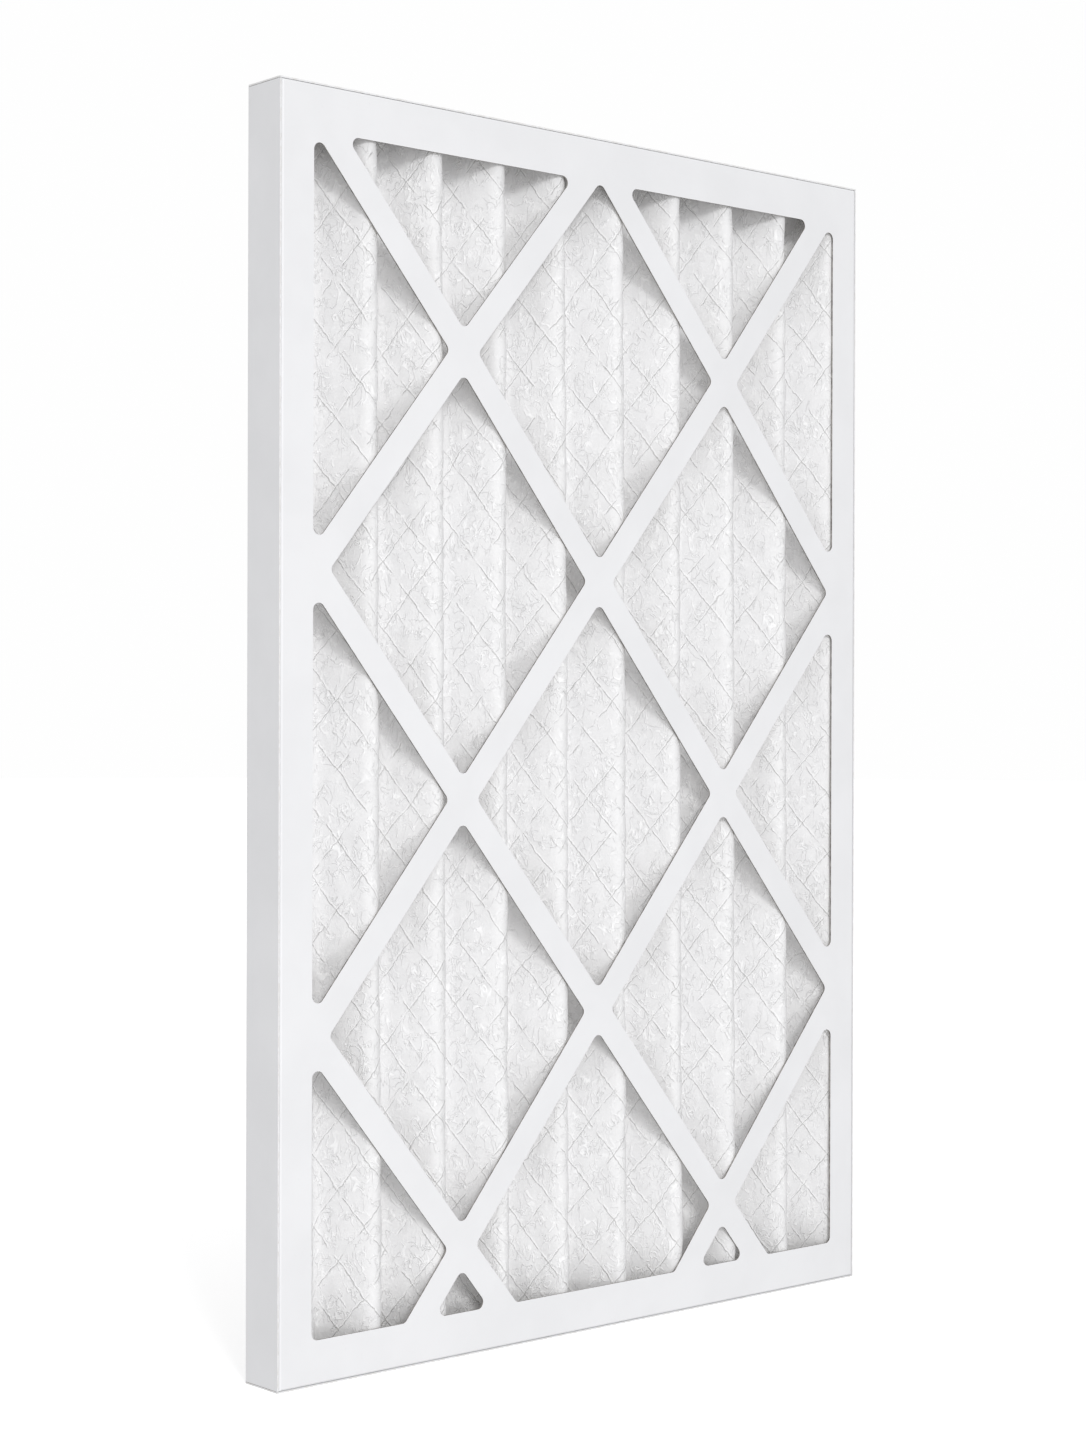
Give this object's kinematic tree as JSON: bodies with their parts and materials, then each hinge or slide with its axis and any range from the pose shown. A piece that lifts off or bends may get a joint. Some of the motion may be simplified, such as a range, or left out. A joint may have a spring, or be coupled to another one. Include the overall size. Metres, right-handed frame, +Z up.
{
  "type": "pleated panel air filter",
  "caption": "Pleated panel air filter: two nested white board trays with a diagonal strap grille on both faces hold an upright pleated media sheet backed with metal mesh.",
  "frame": {"origin": "middle of the bottom edge, on the surface that the filter stands on", "axes": "+X across the filter, +Y from the front face to the back, as the air flows, +Z up along the pleats"},
  "size_m": [0.402, 0.0272, 0.622],
  "materials": {
    "board": "matt white coated paperboard, warm grey where it is cut",
    "media": "white fibrous nonwoven, creased over a diamond mesh",
    "mesh": "galvanised expanded metal",
    "adhesive": "translucent cream hot-melt"
  },
  "bodies": {
    "root": {"front_tray": "board", "back_tray": "board", "pleated_media": "media", "support_mesh": "mesh", "top_glue_bed": "adhesive", "bottom_glue_bed": "adhesive", "left_glue_strip": "adhesive", "right_glue_strip": "adhesive"}
  },
  "joints": []
}
